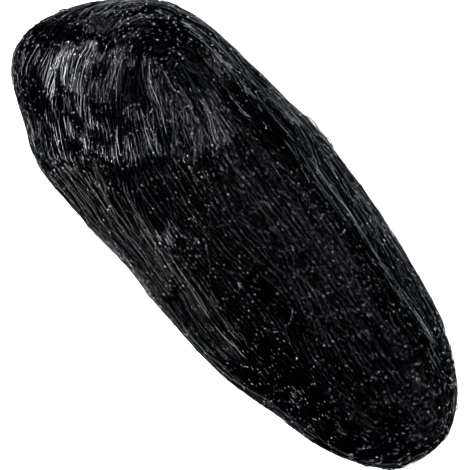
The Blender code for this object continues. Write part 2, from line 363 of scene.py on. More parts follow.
def netting_core_shade_material():
    """Packed strands: ridges across the lay from noise stretched along the turns. No gloss, so
    the deep net stays as dark as shade: painted shade.
    """
    material, tree, shader = new_material(
        "packed_netting_painted_shade", Metallic=0.0, Specular_IOR_Level=0.0
    )
    nodes, links = tree.nodes, tree.links
    across = nodes.new("ShaderNodeAttribute")
    across.attribute_name = "across_mm"
    place = nodes.new("ShaderNodeTexCoord")
    split = add_node(tree, "SeparateXYZ", place.outputs["Object"], 0)
    joined = nodes.new("ShaderNodeCombineXYZ")
    for axis in ("X", "Y"):
        links.new(scaled(tree, split.outputs[axis], 45.0), joined.inputs[axis])
    links.new(scaled(tree, across.outputs["Fac"], 0.95), joined.inputs["Z"])
    ridges = add_node(tree, "TexNoise", joined.outputs[0], "Vector", Scale=1.0, Detail=2.0)
    ridges = ridges.outputs["Fac"]
    tone = add_node(tree, "ValToRGB", ridges, "Fac")
    low, high = tone.color_ramp.elements
    low.position, low.color = 0.40, (0.0002, 0.0002, 0.0004, 1.0)
    high.position, high.color = 0.62, (0.0008, 0.0008, 0.0014, 1.0)
    rough = add_node(tree, "MapRange", ridges, "Value", To_Min=0.85, To_Max=0.45)
    bump = add_node(tree, "Bump", ridges, "Height", Strength=1.0, Distance=0.0012)
    links.new(tone.outputs["Color"], shader["Base Color"])
    links.new(rough.outputs["Result"], shader["Roughness"])
    links.new(bump.outputs["Normal"], shader["Normal"])
    return material


hank_core = bpy.data.objects.new("hank_core", core_mesh())
bpy.context.scene.collection.objects.link(hank_core)
hank_core.data.materials.append(netting_core_shade_material())
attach(hank_core, "root")
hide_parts("netting_hank")


# Turns of the net
# Black polyethylene strands knotted into 19 mm mesh. Gathered into a rope, the mesh closes up
# and its strands lie side by side, joined two and two at rows of knots. The rope is wound
# round the hank, and shows as locks of parallel strands that pass over and under each other.

BAR_MM = 19.0
STEPS_IN_BAR = 3
STEP = BAR_MM / STEPS_IN_BAR * MM
STRAND_RADIUS_MM = 0.34
KNOT_MM = (1.15, 0.70, 0.66)
KNOT_SIZES = (0.6, 1.2)
KNOT_SLIP_MM = 0.6
KNOT_LIFT_MM = 0.4

# Each row is one laying of locks: where they lie, how many strands abreast and bars long
LAYING_COLUMNS = (
    "name", "around", "around_end", "level", "level_end", "locks", "lanes", "bars",
    "pitch_mm", "lift_mm", "lift_end_mm", "drift_deg", "sides", "knot_rings",
)
LAYINGS = [
    ("turns_top_deep", 0.0, 1.0, 0.03, 1.12, 32, 17, 9, 1.70, -2.2, -1.4, 6.0, 3, 1),
    ("turns_top_middle", 0.0, 1.0, 0.03, 1.12, 34, 17, 9, 1.75, -1.3, -0.5, 7.0, 3, 2),
    ("turns_top_outer", 0.0, 1.0, 0.05, 1.15, 36, 17, 8, 1.90, -0.5, 0.6, 6.0, 3, 2),
    ("turns_round_pit", -0.10, 0.22, 0.06, 0.55, 14, 9, 5, 1.65, -1.0, 0.2, 4.0, 3, 2),
    ("turns_narrow_end", 0.42, 0.62, 0.08, 0.70, 14, 11, 5, 1.65, -0.3, 0.9, 4.0, 3, 2),
    ("turns_side_middle", 0.0, 1.0, 0.95, 1.97, 26, 17, 10, 1.75, -1.6, -0.6, 6.0, 3, 1),
    ("turns_side_outer", 0.0, 1.0, 1.00, 1.95, 38, 15, 10, 1.75, -0.8, 0.5, 6.0, 3, 2),
    ("turns_under", 0.0, 1.0, 1.90, 2.75, 16, 15, 9, 1.90, -0.6, 0.2, 5.0, 3, 1),
]

# How the strands of a lock vary: how far one is drawn past the next, their slow and quick
# waves to the side and in height, how high each stands, how much lower the lock's edges lie,
# and how deep and how sharply its ends dive
DRAWN_MM = 1.3
SIDE_WAVES_MM = (0.80, 0.45)
HEIGHT_WAVES_MM = (0.36, 0.10)
STRAND_HEIGHT_MM = 0.45
EDGE_DROP_MM = 1.2
DIVE_MM = 4.2
DIVE_SHARPNESS = 9.0
SWAY_LENGTH = 0.045
SPARE_STEPS = 6

# Where the strands lean off the way round, seen from above: shares of half the length and
# width, the distance at which the lean has died to a third, and the lean outwards
LEAN_COLUMNS = ("x", "y", "size_mm", "lean_deg")
LEANS = np.array([
    (-0.845, 0.277, 24.0, 41.8), (-0.525, -0.277, 55.0, -34.3), (0.845, 0.277, 16.0, 31.7),
    (-0.708, 0.277, 16.0, 38.6), (-0.936, -0.055, 16.0, 25.7), (-0.571, 0.388, 16.0, -10.0),
    (-0.845, -0.498, 24.0, -19.5), (-0.845, 0.609, 16.0, 39.0), (-0.160, 0.941, 24.0, -13.1),
    (0.936, -0.166, 16.0, -14.7), (-0.708, 0.609, 16.0, -21.9), (0.114, -0.831, 24.0, -13.0),
    (-0.662, 0.831, 16.0, 13.3), (0.799, -0.166, 16.0, -20.7), (0.890, -0.609, 16.0, 16.0),
    (-0.479, -0.720, 24.0, 14.8), (0.708, -0.720, 16.0, -16.2), (0.434, -0.277, 16.0, -23.6),
    (-0.660, 0.020, 20.0, -13.0), (-0.390, -0.520, 22.0, -11.0),
])


def lean_at(points):
    """Lean of the strands at a point of the surface, in radians: a sum of round bells, fading
    out below the widest line."""
    away = (points[..., None, :2] - to_plan(LEANS[:, :2])) / MM
    bells = np.exp(-(away**2).sum(-1) / LEANS[:, 2] ** 2)
    fade = smooth((points[..., 2] - 0.035) / 0.025)
    return np.radians(bells @ LEANS[:, 3]) * fade


# Two steps that, taken again and again, spread points evenly over a square
SPREAD_STEPS = (0.7548777, 0.5698403)


def spread_by_area(count, around_start, around_end, level_start, level_end, rng):
    """Start places spread evenly over the area of one stretch: a low-discrepancy pair of
    numbers is read back through the running sums of area, down the levels, then around."""
    rows, columns = hank["point"].shape[:2]
    levels = np.linspace(FIRST_LEVEL, LAST_LEVEL, rows)
    area = np.linalg.norm(np.cross(hank["roundway"], hank["downway"]), axis=-1)
    within = (np.arange(columns) / columns - around_start) % 1.0 <= around_end - around_start
    area = area * ((levels > level_start) & (levels < level_end))[:, None] * within
    k = np.arange(count) + rng.random() * 100
    down, round_ = (k * SPREAD_STEPS[0]) % 1.0, (k * SPREAD_STEPS[1]) % 1.0
    by_level = np.cumsum(area.sum(axis=1))
    level = np.interp(down * by_level[-1], by_level, levels)
    row = np.clip(np.searchsorted(levels, level), 0, rows - 1)
    by_turn = np.cumsum(area[row], axis=1)
    column = (by_turn < round_[:, None] * by_turn[:, -1:]).sum(axis=1)
    return column / columns, level


def laid_over(around, level, height):
    """Points at a height in millimetres over the surface, and the surface's normals there."""
    normal = look_up("normal", around, level)
    return look_up("point", around, level) + normal * height[..., None] * MM, normal


def unit(vectors):
    return vectors / np.maximum(np.linalg.norm(vectors, axis=-1, keepdims=True), 1e-12)


def step_over(around, level, heading, length):
    """One step over the surface, headed off the turns towards the outline by an angle: the
    step is shared out between the surface's two ways by their dot products."""
    roundway, downway = look_up("roundway", around, level), look_up("downway", around, level)
    ahead = unit(roundway)
    aside = unit(downway - (downway * ahead).sum(-1, keepdims=True) * ahead)
    move = (np.cos(heading)[..., None] * ahead + np.sin(heading)[..., None] * aside) * length
    round_round, down_down = (roundway**2).sum(-1), (downway**2).sum(-1)
    round_down = (roundway * downway).sum(-1)
    by_round, by_down = (move * roundway).sum(-1), (move * downway).sum(-1)
    size = round_round * down_down - round_down**2
    around = around + (down_down * by_round - round_down * by_down) / size
    level = level + (round_round * by_down - round_down * by_round) / size
    return around, np.clip(level, LEAST_LEVEL, LAST_LEVEL)


def lock_paths(around, level, lanes, pitch, steps, drift, rng):
    """Paths of all strands of all locks, as (step, around or level, lock, lane). The starts
    stand in a row across the lay, a pitch apart, and each strand is walked both ways from
    there in even steps, along the turns, with its lock's own lean and a slow sine of sway."""
    lean, sway = rng.uniform(-1.0, 1.0, (2, len(around), 1)) * drift
    phase = rng.uniform(0, 2 * np.pi, (len(around), 1))
    middle = lanes // 2
    starts = np.empty((2, len(around), lanes))
    for side in (-1, 1):
        place = np.stack([around, level])
        for lane in range(0, middle + 1):
            starts[:, :, middle + side * lane] = place
            heading = lean_at(look_up("point", *place)) + lean[:, 0] + side * np.pi / 2
            place = np.stack(step_over(*place, heading, pitch * MM))
    path = np.empty((steps, 2, len(around), lanes))
    for way in (-1, 1):
        place = starts
        for step in range(0, steps // 2 + 1):
            path[steps // 2 + way * step] = place
            heading = lean_at(look_up("point", *place)) + lean
            heading = heading + sway * np.sin(phase + way * step * STEP / SWAY_LENGTH)
            place = np.stack(step_over(*place, heading, way * STEP))
    return path


def strands_of_locks(row, rng):
    """Points and normals of all strands of a laying, as (lock, lane, step, 3).

    A strand leans to one neighbour at each row of knots and to the other at the next, by a
    cosine of the bars gone. The lock gathers a little at its ends, is domed across, and
    dives under the others where it starts and stops."""
    locks, lanes, bars, pitch, lift, lift_end, drift = row[5:12]
    pad = SPARE_STEPS
    steps = bars * STEPS_IN_BAR // 2 * 2 + 1
    around, level = spread_by_area(locks, *row[1:5], rng)
    path = lock_paths(around, level, lanes, pitch, steps + 2 * pad, np.radians(drift), rng)

    lane = np.arange(lanes) - lanes // 2
    step = np.arange(steps)
    share = step / (steps - 1)
    slant = rng.uniform(-0.6, 0.6, locks)[:, None] * lane * pitch
    bow = rng.uniform(-0.7, 0.7, locks)[:, None] * (lane * pitch) ** 2 / 12.0
    drawn = np.cumsum(rng.normal(0, DRAWN_MM, (locks, lanes)), axis=1)
    shift = (slant + bow + drawn - drawn.mean(axis=1, keepdims=True)) * MM / STEP
    shift = np.clip(shift, -pad + 0.01, pad - 0.01)
    place = pad + step[:, None, None] + shift
    low = np.floor(place).astype(int)
    part = (place - low)[:, None]
    low = np.broadcast_to(low[:, None], (steps, 2, locks, lanes))
    read = np.take_along_axis(path, low, 0) * (1 - part)
    read = read + np.take_along_axis(path, np.minimum(low + 1, len(path) - 1), 0) * part
    around, level = np.moveaxis(read, 0, -1)

    waist = rng.uniform(0, 2 * np.pi, (locks, 1, 1))
    gather = 0.30 * (1.0 - np.sin(np.pi * np.clip(share, 0.02, 0.98)) ** 0.5)
    gather = gather + 0.10 * np.sin(waist + share * 9.0)
    wave = rng.uniform(0, 2 * np.pi, (3, locks, lanes, 1))
    gone = share * bars
    slow, quick = SIDE_WAVES_MM
    wobble = slow * np.sin(wave[0] + gone * 1.3) + quick * np.sin(wave[1] + gone * 2.9)
    zigzag = (-1.0) ** np.arange(lanes)[:, None] * np.cos(np.pi * step / STEPS_IN_BAR)
    sideways = 0.42 * pitch * zigzag + wobble - lane[:, None] * pitch * gather
    slope = np.linalg.norm(look_up("downway", around, level), axis=-1)
    level = np.clip(level + sideways * MM / slope, LEAST_LEVEL, LAST_LEVEL)

    height = rng.uniform(lift, lift_end, (locks, 1, 1))
    height = height + rng.uniform(-STRAND_HEIGHT_MM, STRAND_HEIGHT_MM, (locks, lanes, 1))
    height = height - EDGE_DROP_MM * (lane[:, None] / lanes * 2) ** 4
    slow, quick = HEIGHT_WAVES_MM
    height = height + slow * np.sin(wave[2] + gone * 1.9) + quick * np.sin(wave[0] + gone * 4.7)
    ends = smooth(share * DIVE_SHARPNESS) * smooth((1.0 - share) * DIVE_SHARPNESS)
    height = height - DIVE_MM * (1.0 - ends)
    return laid_over(around, level, height)


def tubes(points, normal, radius, sides, closed=False):
    """Tubes along many strands at once: a ring of vertices about each point, in the plane
    square to the strand. Closed ones meet themselves, others have a face over each end."""
    count, steps = points.shape[:2]
    run = np.roll(points, -1, axis=1) - np.roll(points, 1, axis=1)
    run = unit(run if closed else np.gradient(points, axis=1))
    side = unit(np.cross(run, normal))
    up = np.cross(side, run)
    turn = np.arange(sides) * 2 * np.pi / sides + np.pi / 2
    ring = side[:, :, None] * np.cos(turn)[:, None] + up[:, :, None] * np.sin(turn)[:, None]
    verts = (points[:, :, None] + ring * radius).reshape(-1, 3)
    spans = steps if closed else steps - 1
    strand, step, k = np.meshgrid(
        np.arange(count), np.arange(spans), np.arange(sides), indexing="ij"
    )
    here = (strand * steps + step) * sides
    ahead = (strand * steps + (step + 1) % steps) * sides
    after = (k + 1) % sides
    quads = np.stack([here + k, here + after, ahead + after, ahead + k], axis=-1).reshape(-1, 4)
    if closed:
        return verts, [quads]
    first = np.arange(count)[:, None] * steps * sides + np.arange(sides)
    return verts, [quads, first[:, ::-1], first + (steps - 1) * sides]


def beads(centre, run, normal, rings, rng):
    """Knots as small barrels: one or two rings of four between two poles, long way along the
    strand, each one turned and sized a little differently."""
    count = len(centre)
    long, wide, high = KNOT_MM
    run = unit(run + rng.normal(0, 0.30, run.shape))
    side = unit(np.cross(run, normal))
    up = np.cross(side, run)
    grow = rng.uniform(*KNOT_SIZES, (count, 1, 1)) * MM
    turn = np.arange(4) * np.pi / 2
    ring = side[:, None] * np.cos(turn)[:, None] * wide
    ring = ring + up[:, None] * np.sin(turn)[:, None] * high
    rows = [centre[:, None] - run[:, None] * long * grow]
    for along in np.linspace(-0.42, 0.42, rings) if rings > 1 else [0.0]:
        rows.append(centre[:, None] + (ring + run[:, None] * long * along) * grow)
    rows.append(centre[:, None] + run[:, None] * long * grow)
    verts = np.concatenate(rows, axis=1)
    k = np.arange(4)
    j = (k + 1) % 4
    last = 1 + 4 * rings
    base = np.arange(count)[:, None, None] * (last + 1)
    start = np.stack([np.zeros(4, int), 1 + j, 1 + k], axis=-1)
    end = np.stack([last - 4 + k, last - 4 + j, np.full(4, last)], axis=-1)
    parts = [start, end]
    if rings > 1:
        parts.append(np.stack([1 + k, 1 + j, 5 + j, 5 + k], axis=-1))
    faces = [(base + part).reshape(-1, part.shape[-1]) for part in parts]
    return verts.reshape(-1, 3), faces


def knots_of(points, normal, rings, rng):
    """Knots where neighbouring strands meet: lanes two and three and so on at one row of
    knots, and lanes one and two and so on at the next."""
    centres, runs, normals = [], [], []
    run = np.gradient(points, axis=-2)
    rows = np.arange(STEPS_IN_BAR, points.shape[-2] - STEPS_IN_BAR, STEPS_IN_BAR)
    for number, step in enumerate(rows, start=1):
        pairs = np.arange(number % 2, points.shape[-3] - 1, 2)
        centre = (points[..., pairs, step, :] + points[..., pairs + 1, step, :]) / 2
        up = normal[..., pairs, step, :]
        ahead = unit(run[..., pairs, step, :])
        slip = rng.normal(0, KNOT_SLIP_MM, (*centre.shape[:-1], 1)) * MM
        centres.append((centre + ahead * slip + up * KNOT_LIFT_MM * MM).reshape(-1, 3))
        runs.append(ahead.reshape(-1, 3))
        normals.append(up.reshape(-1, 3))
    return beads(np.vstack(centres), np.vstack(runs), np.vstack(normals), rings, rng)


def joined_mesh(name, parts, tones):
    """One mesh from (vertices, lists of faces) parts, with a tone for each vertex, and each
    part's number as its faces' material number."""
    verts, loops, totals, numbers = [], [], [], []
    start = 0
    for number, (points, faces) in enumerate(parts):
        verts.append(points)
        for group in faces:
            loops.append((group + start).ravel())
            totals.append(np.full(len(group), group.shape[1]))
            numbers.append(np.full(len(group), number))
        start += len(points)
    verts, loops, totals = np.vstack(verts), np.concatenate(loops), np.concatenate(totals)
    verts[:, 2] = np.maximum(verts[:, 2], 0.0001)
    mesh = bpy.data.meshes.new(name)
    mesh.vertices.add(len(verts))
    mesh.loops.add(len(loops))
    mesh.polygons.add(len(totals))
    mesh.vertices.foreach_set("co", verts.astype(np.float32).ravel())
    mesh.loops.foreach_set("vertex_index", loops.astype(np.int32))
    starts = np.r_[0, np.cumsum(totals)[:-1]]
    mesh.polygons.foreach_set("loop_start", starts.astype(np.int32))
    mesh.polygons.foreach_set("material_index", np.concatenate(numbers).astype(np.int32))
    mesh.update(calc_edges=True)
    mesh.shade_smooth()
    mesh.attributes.new("strand_tone", "FLOAT", "POINT")
    mesh.attributes["strand_tone"].data.foreach_set("value", tones.astype(np.float32))
    return mesh


def strand_material(name, shine, rough, gloss, coat, coat_rough, coat_ior):
    """Black plastic: near black, each strand with a smoother or a duller skin than the next,
    from the coat's weight, and a faint drawn grain in the gloss. Knots have a harder coat."""
    material, tree, shader = new_material(
        name, Metallic=0.0, IOR=1.52, Specular_IOR_Level=shine,
        Coat_Roughness=coat_rough, Coat_IOR=coat_ior,
    )
    nodes, links = tree.nodes, tree.links
    tone = nodes.new("ShaderNodeAttribute")
    tone.attribute_name = "strand_tone"
    tone = tone.outputs["Fac"]
    colour = add_node(tree, "ValToRGB", tone, "Fac")
    colour.color_ramp.elements[0].color = (0.0001, 0.0001, 0.0002, 1.0)
    colour.color_ramp.elements[1].color = (0.0005, 0.0006, 0.0010, 1.0)
    skin = add_node(tree, "MapRange", tone, "Value", From_Min=0.36, To_Min=0.0, To_Max=coat)
    place = nodes.new("ShaderNodeTexCoord")
    grain = add_node(
        tree, "TexNoise", place.outputs["Object"], "Vector", Scale=900.0, Detail=2.0
    ).outputs["Fac"]
    mixed = add_node(tree, "Math", grain, 0)
    mixed.operation = "ADD"
    links.new(tone, mixed.inputs[1])
    roughness = add_node(
        tree, "MapRange", mixed.outputs[0], "Value",
        From_Min=0.3, From_Max=1.6, To_Min=rough, To_Max=gloss,
    )
    bump = add_node(tree, "Bump", grain, "Height", Strength=0.25, Distance=0.0002)
    links.new(colour.outputs["Color"], shader["Base Color"])
    links.new(skin.outputs["Result"], shader["Coat Weight"])
    links.new(roughness.outputs["Result"], shader["Roughness"])
    links.new(bump.outputs["Normal"], shader["Normal"])
    return material


# Rows two, four and five are duller, darker copies of the strand and knot plastic for the net
# under the outer turns: painted shade, not a different plastic.
FINISH_COLUMNS = ("name", "shine", "rough", "gloss", "coat", "coat_rough", "coat_ior")
FINISHES = [
    ("netting_strand", 0.05, 0.22, 0.12, 1.00, 0.058, 1.6),
    ("netting_half_shaded", 0.02, 0.25, 0.15, 0.42, 0.058, 1.6),
    ("netting_knot", 0.90, 0.18, 0.10, 1.00, 0.060, 2.3),
    ("netting_half_shaded_knot", 0.40, 0.20, 0.10, 0.90, 0.060, 2.2),
    ("netting_deep_shaded", 0.00, 0.40, 0.25, 0.04, 0.120, 1.6),
]
netting_strand, netting_half_shaded, netting_knot, netting_half_shaded_knot, netting_deep_shaded = (
    strand_material(*row) for row in FINISHES
)


def add_piece(name, mesh, *finishes):
    """A piece of net that rides with the hank, its finishes in the order of its parts."""
    piece = bpy.data.objects.new(name, mesh)
    bpy.context.scene.collection.objects.link(piece)
    for finish in finishes:
        piece.data.materials.append(finish)
    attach(piece, "root")


def add_netting(name, points, normal, sides, knot_rings, rng):
    """Strands and knots of one laying as one piece, riding with the hank. Middle and deep
    layings take duller, darker copies of the same plastic: painted shade from the outer ones."""
    finishes = {
        "deep": (netting_deep_shaded, netting_deep_shaded), "middle": (netting_half_shaded, netting_half_shaded_knot),
    }
    finish = finishes.get(name.split("_")[-1], (netting_strand, netting_knot))
    flat_points = points.reshape(-1, *points.shape[-2:])
    flat_normal = normal.reshape(-1, *normal.shape[-2:])
    radius = STRAND_RADIUS_MM * MM
    strand_part = tubes(flat_points, flat_normal, radius, sides)
    knot_part = knots_of(points, normal, knot_rings, rng)
    each = np.repeat(rng.random(len(flat_points)), flat_points.shape[1] * sides)
    corners = 2 + 4 * knot_rings
    knot_tones = np.repeat(rng.random(len(knot_part[0]) // corners) ** 1.5, corners)
    add_piece(name, joined_mesh(name, [strand_part, knot_part], np.r_[each, knot_tones]), *finish)


# Whole turns under the locks: closed loops, evenly spread, so no bare place shows
WHOLE_TURNS_COLUMNS = ("name", "level", "level_end", "loops", "bars_round", "depth_mm")
WHOLE_TURNS = [("whole_turns_side", 1.01, 2.60, 66, 44, 1.9)]
TURN_SIDES = 3
# The whole turns' tones are scaled down, which darkens and dulls them further: painted shade.
TURN_SHADE_TONE = 0.6


def whole_turns(row, rng):
    """Points and normals of closed loops at even steps of level, each set by slow sines and
    leaning to one neighbour and then the other at each row of knots."""
    _, level_start, level_end, loops, bars, depth = row
    steps = bars * STEPS_IN_BAR
    around = np.arange(steps)[None, :] / steps + rng.uniform(-0.004, 0.004, (loops, 1))
    number = np.arange(loops)[:, None]
    spacing = (level_end - level_start) / (loops - 1)
    wave = rng.uniform(0, 2 * np.pi, (2, loops, 1))
    lap = 2 * np.pi * around
    zigzag = 0.40 * (-1.0) ** number * np.cos(np.pi * np.arange(steps) / STEPS_IN_BAR)
    sway = 0.5 * np.sin(7 * lap + wave[0]) + 0.3 * np.sin(17 * lap + wave[1])
    roll = 2.4 * np.sin(3 * lap + number * 0.11) + 1.6 * np.sin(8 * lap - number * 0.17)
    level = level_start + spacing * (number + zigzag + sway + roll)
    level = np.clip(level, LEAST_LEVEL, LAST_LEVEL)
    around = np.broadcast_to(around, level.shape)
    height = -depth + 0.5 * np.sin(11 * lap + wave[1])
    return laid_over(around, level, height)


for number, row in enumerate(WHOLE_TURNS):
    laying = np.random.default_rng(20 + number)
    laid_points, laid_normal = whole_turns(row, laying)
    turn_part = tubes(laid_points, laid_normal, STRAND_RADIUS_MM * MM, TURN_SIDES, closed=True)
    each = np.repeat(laying.random(len(laid_points)), laid_points.shape[1] * TURN_SIDES)
    # The whole turns lie deepest and take the darkest, dullest copy of the plastic: painted
    # shade.
    add_piece(row[0], joined_mesh(row[0], [turn_part], each * TURN_SHADE_TONE), netting_deep_shaded)


for number, row in enumerate(LAYINGS):
    laying = np.random.default_rng(40 + number)
    laid_points, laid_normal = strands_of_locks(row, laying)
    add_netting(row[0], laid_points, laid_normal, row[-2], row[-1], laying)


# Turns over the crest
# The last turns of the same black net lie along the top, over the line that the others close
# on. They come up out of the pit at the blunt end and fan out to lie with the rest.

CREST_LAYING_COLUMNS = (
    "name", "locks", "lanes", "bars", "pitch_mm", "along_mm", "along_end_mm",
    "side_mm", "side_end_mm", "fan_mm", "lift_mm", "lift_end_mm",
)
CREST_LAYINGS = [
    ("crest_turns_deep", 16, 11, 9, 1.90, -2.0, 190.0, -20.0, 20.0, 30.0, -1.8, -0.6),
    ("crest_turns_outer", 16, 9, 8, 2.10, 5.0, 200.0, -22.0, 18.0, 30.0, -0.4, 0.8),
    ("fan_turns", 10, 7, 7, 2.30, -3.0, 3.0, -46.0, 9.0, 95.0, -0.6, 1.0),
]

# How the strands over the crest vary, as in a lock, and how deep they go under one by one
# where the fan closes
CREST_SIDE_WAVES_MM = (0.4, 0.3)
CREST_STRAND_HEIGHT_MM = 0.4
CREST_DIVE_MM = 4.5
CREST_TUCK_MM = 5.0
CREST_DRIFT_MM = 7.0
FAN_LEAST_SPREAD = 0.06
CREST_SIDES = 3
KNOT_RINGS = 2


def bearing(plan):
    """Running place of plan points round the crest line: 0 to 1 along its +Y side, 1 to 2
    round the narrow end by angle, 2 to 3 back along the -Y side, 3 to 4 round the blunt."""
    start, line, ahead, left = crest_axes()
    away = plan - start
    along, side = away @ ahead / np.linalg.norm(line), away @ left
    narrow = np.arctan2(side, (along - 1.0) * np.linalg.norm(line))
    blunt = np.arctan2(side, along * np.linalg.norm(line))
    blunt = np.where(blunt > 0, blunt - 2 * np.pi, blunt)
    place = np.where(side >= 0, along, 3.0 - along)
    place = np.where(along > 1.0, 1.5 - narrow / np.pi, place)
    return np.where(along < 0.0, 2.5 - blunt / np.pi, place)


def crest_axes():
    """Start of the crest line, the line, and unit vectors along it and square to it."""
    start = to_plan(CREST_LINE[0])
    line = to_plan(CREST_LINE[1]) - start
    ahead = line / np.linalg.norm(line)
    return start, line, ahead, np.array([-ahead[1], ahead[0]])


def place_on_top(plan):
    """Around and level of plan points on the top: around from the outline point of the same
    bearing, level from the share of the way there, through the section turned round."""
    turns = np.arange(1800) / 1800
    rim = to_plan(closed_curve(OUTLINE, turns)[:, :2])
    rim_bearing = np.unwrap(bearing(rim), period=4.0)
    wanted = rim_bearing[0] + (bearing(plan) - rim_bearing[0]) % 4.0
    around = np.interp(wanted, rim_bearing, turns)
    reached = np.column_stack([np.interp(around, turns, column) for column in rim.T])
    _, foot = nearest_on_line(plan, CREST_LINE)
    out = np.linalg.norm(plan - foot, axis=-1) / np.linalg.norm(reached - foot, axis=-1)
    out = np.clip(out, 0.0, 1.0)
    return around, np.arcsin(out ** (1 / TOP_SQUARENESS)) * 2 / np.pi


def strands_over_crest(row, rng):
    """Points and normals of the strands of one crest laying, as (lock, lane, step, 3): each
    keeps its side distance from the crest line, which opens from nothing at the blunt end by
    a smooth step over the fan's length."""
    _, locks, lanes, bars, pitch, along, along_end, side, side_end, fan, lift, lift_end = row
    lane = np.arange(lanes) - (lanes - 1) / 2
    step = np.arange(bars * STEPS_IN_BAR + 1)
    share = step / step[-1]
    number = np.arange(locks) + rng.random()
    start = along + (along_end - along) * (number * SPREAD_STEPS[0] % 1.0)
    middle = side + (side_end - side) * (number * SPREAD_STEPS[1] % 1.0)
    slant = rng.uniform(-0.5, 0.5, locks)[:, None] * lane * pitch
    gone = start[:, None, None] + step * STEP / MM + slant[:, :, None]
    spread = FAN_LEAST_SPREAD + (1.0 - FAN_LEAST_SPREAD) * smooth(gone / fan)
    wave = rng.uniform(0, 2 * np.pi, (2, locks, lanes, 1))
    slow, quick = CREST_SIDE_WAVES_MM
    wobble = slow * np.sin(wave[0] + share * bars * 1.3)
    wobble = wobble + quick * np.sin(wave[1] + share * bars * 2.7)
    zigzag = (-1.0) ** np.arange(lanes)[:, None] * np.cos(np.pi * step / STEPS_IN_BAR)
    narrow = 0.45 + 0.55 * np.sin(np.pi * np.clip(share, 0.03, 0.97)) ** 0.6
    drift = rng.uniform(-CREST_DRIFT_MM, CREST_DRIFT_MM, (locks, 1, 1)) * (share - 0.3)
    sideways = (middle[:, None, None] + lane[:, None] * pitch * narrow + drift) * spread
    sideways = sideways + (0.42 * pitch * zigzag + wobble) * np.minimum(spread * 2.0, 1.0)
    origin, _, ahead, left = crest_axes()
    plan = origin + (gone[..., None] * ahead + sideways[..., None] * left) * MM
    around, level = place_on_top(plan.reshape(-1, 2))
    around, level = around.reshape(gone.shape), level.reshape(gone.shape)
    height = rng.uniform(lift, lift_end, (locks, 1, 1))
    stands = CREST_STRAND_HEIGHT_MM
    height = height + rng.uniform(-stands, stands, (locks, lanes, 1))
    height = height - EDGE_DROP_MM * (lane[:, None] / lanes * 2) ** 2
    ends = smooth(share * 6.0) * smooth((1.0 - share) * 5.0)
    height = height - CREST_DIVE_MM * (1.0 - ends)
    order = rng.random((locks, lanes, 1))
    height = height - CREST_TUCK_MM * (1.0 - smooth((spread - order) * 5.0 + 1.0))
    return laid_over(around, level, height)


for number, row in enumerate(CREST_LAYINGS):
    laying = np.random.default_rng(70 + number)
    laid_points, laid_normal = strands_over_crest(row, laying)
    add_netting(row[0], laid_points, laid_normal, CREST_SIDES, KNOT_RINGS, laying)


# Loose strands
# Single strands of the same black net that have slipped out of the turns: a hook and a few
# long ones on the top, an opened mesh by the pit, and small loops along the lower rim.

# Start in shares of half the length and width, the way it sets off, how far it runs and how
# much it bends on the way, and how high it stands over the turns
LOOSE_COLUMNS = ("x", "y", "heading_deg", "length_mm", "bend_deg", "lift_mm")
LOOSE = [
    (0.299, -0.448, 20.0, 32.0, 130.0, 2.2), (-0.426, 0.285, -25.0, 16.0, -12.0, 2.2),
    (-0.409, 0.323, -42.0, 16.0, -2.0, 2.0), (-0.357, 0.213, -45.0, 9.0, 0.0, 2.4),
    (-0.332, 0.154, -68.0, 15.0, 8.0, 2.2), (-0.345, 0.170, -42.0, 16.0, -14.0, 2.2),
    (-0.332, 0.154, -12.0, 12.0, 6.0, 1.8), (-0.478, 0.258, -38.0, 44.0, -8.0, 1.8),
    (-0.470, 0.230, -36.0, 40.0, 4.0, 1.6), (-0.455, 0.245, -41.0, 36.0, 6.0, 1.7),
    (-0.487, -0.041, -30.0, 28.0, 14.0, 1.8), (-0.480, 0.400, -40.0, 30.0, -6.0, 2.0),
    (-0.130, -0.110, -38.0, 15.0, 10.0, 2.2), (-0.060, -0.330, -20.0, 26.0, -22.0, 1.8),
    (0.180, 0.050, 0.0, 34.0, 9.0, 2.0), (0.420, 0.330, 2.0, 40.0, -10.0, 1.8),
]

LOOSE_POINTS = 22
LOOSE_RADIUS_MM = 0.36
LOOSE_SIDES = 4
LOOSE_TONE = 0.95
LOOSE_DROP_MM = 2.6


def loose_paths():
    """Points and normals of the loose strands: each is walked over the plan by equal steps
    while its heading turns evenly, then laid over the hank at its lift, its ends let down."""
    x, y, heading, length, bend, lift = np.array(LOOSE).T
    share = np.linspace(0.0, 1.0, LOOSE_POINTS)
    turned = np.radians(heading[:, None] + bend[:, None] * share)
    stride = (length * MM / (LOOSE_POINTS - 1))[:, None, None]
    step = np.stack([np.cos(turned), np.sin(turned)], axis=-1) * stride
    plan = to_plan(np.column_stack([x, y]))[:, None] + np.cumsum(step, axis=1) - step[:, :1]
    around, level = place_on_top(plan.reshape(-1, 2))
    around, level = around.reshape(plan.shape[:2]), level.reshape(plan.shape[:2])
    ends = smooth(share * 5.0) * smooth((1.0 - share) * 5.0)
    height = lift[:, None] - LOOSE_DROP_MM * (1.0 - ends)
    return laid_over(around, level, height)


RIM_LOOPS = 70
RIM_LOOP_MM = (9.0, 26.0)
RIM_LOOP_POINTS = 12
RIM_LOOP_SINK_MM = 1.2
RIM_LOOP_RISE_MM = (1.6, 3.6)


